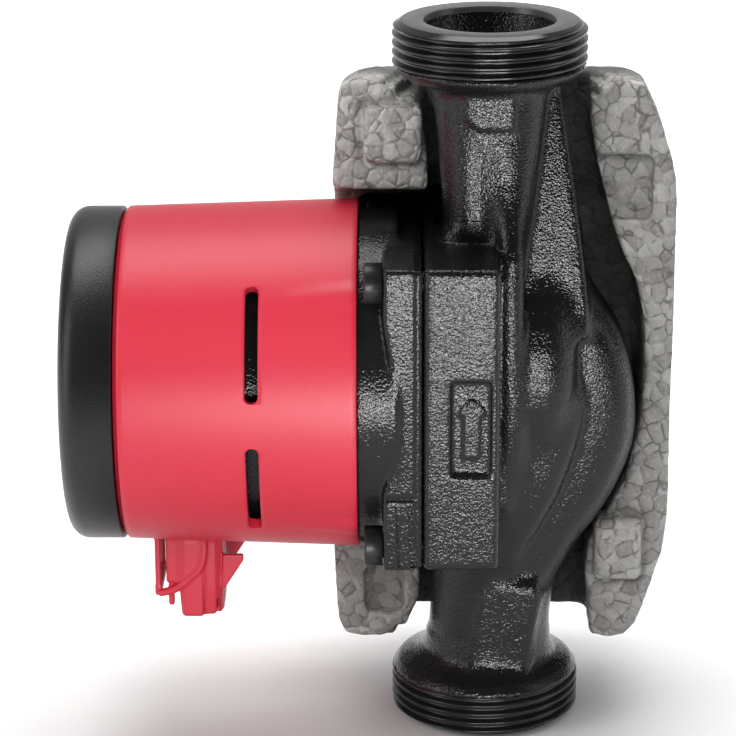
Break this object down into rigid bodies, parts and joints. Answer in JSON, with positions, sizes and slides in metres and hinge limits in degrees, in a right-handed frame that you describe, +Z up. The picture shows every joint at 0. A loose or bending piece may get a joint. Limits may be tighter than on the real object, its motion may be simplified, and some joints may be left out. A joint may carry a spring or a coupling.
{
  "type": "circulator pump",
  "caption": "Inline wet-rotor circulator pump with threaded ports, round motor with end controls, plug socket and one foam insulation half.",
  "frame": {"origin": "crossing of the pipe axis and the motor axis, halfway between the two port faces", "axes": "+Z up the pipe towards the outlet port, motor along -X, insulation half on the +Y side"},
  "size_m": [0.1513, 0.0977, 0.18],
  "materials": {
    "cast_housing": "black electrocoat over a coarse sand-cast skin, semi-gloss",
    "motor_casting": "black coated die casting, satin",
    "red_plastic": "fine grained satin moulding",
    "black_plastic": "fine sparkle grain, matt",
    "panel_film": "satin printed film",
    "light_guide": "clear moulded light guide",
    "bead_foam": "expanded bead foam, matt, with fused beads",
    "rubber": "moulded rubber",
    "stainless": "drawn stainless sheet",
    "bolt_steel": "blackened steel, satin",
    "lamination": "stacked electrical sheet",
    "copper": "enamelled copper winding",
    "brass": "bright contact brass",
    "ceramic": "ground technical ceramic",
    "carbon": "resin-bonded carbon, matt",
    "magnet": "sintered ferrite",
    "impeller_plastic": "glass-filled moulding",
    "board": "solder mask over laminate",
    "capacitor_can": "drawn can, satin"
  },
  "bodies": {
    "pump": {"pump_housing": "cast_housing", "housing_gasket": "rubber", "neck_ring": "stainless", "bearing_plate": "stainless", "front_bearing": "carbon", "rear_bearing": "carbon", "rotor_can": "stainless", "stator_core": "lamination", "stator_coil_1": "copper", "stator_coil_2": "copper", "stator_coil_3": "copper", "stator_coil_4": "copper", "stator_coil_5": "copper", "stator_coil_6": "copper", "motor_housing": "motor_casting", "flange_bolt_1": "bolt_steel", "flange_bolt_2": "bolt_steel", "flange_bolt_3": "bolt_steel", "flange_bolt_4": "bolt_steel", "electronics_housing": "red_plastic", "socket_pin_1": "brass", "socket_pin_2": "brass", "socket_pin_3": "brass", "front_cover": "black_plastic", "control_panel": "panel_film", "light_window_1": "light_guide", "light_window_2": "light_guide", "light_window_3": "light_guide", "light_window_4": "light_guide", "light_window_5": "light_guide", "cover_seal": "rubber", "circuit_board": "board", "button_switch": "black_plastic", "bulk_capacitor": "capacitor_can", "line_choke": "copper", "power_module": "black_plastic"},
    "rotor": {"impeller": "impeller_plastic", "impeller_shroud": "impeller_plastic", "rotor_shaft": "ceramic", "rotor_magnet": "magnet", "rotor_sleeve": "stainless", "thrust_retainer": "rubber", "thrust_bearing": "ceramic"},
    "button": {"push_button": "black_plastic"},
    "insulation": {"insulation_half": "bead_foam"}
  },
  "joints": [
    {"name": "rotor_spin", "type": "hinge", "parent": "pump", "child": "rotor", "pos_m": [0, 0, 0], "axis": [1, 0, 0], "continuous": true},
    {"name": "button_press", "type": "slide", "parent": "pump", "child": "button", "axis": [1, 0, 0], "range_m": [0, 0.0008], "stiffness_N_per_m": 2500},
    {"name": "insulation_pull_off", "type": "slide", "parent": "pump", "child": "insulation", "axis": [0, 1, 0], "range_m": [0, 0.06]}
  ]
}
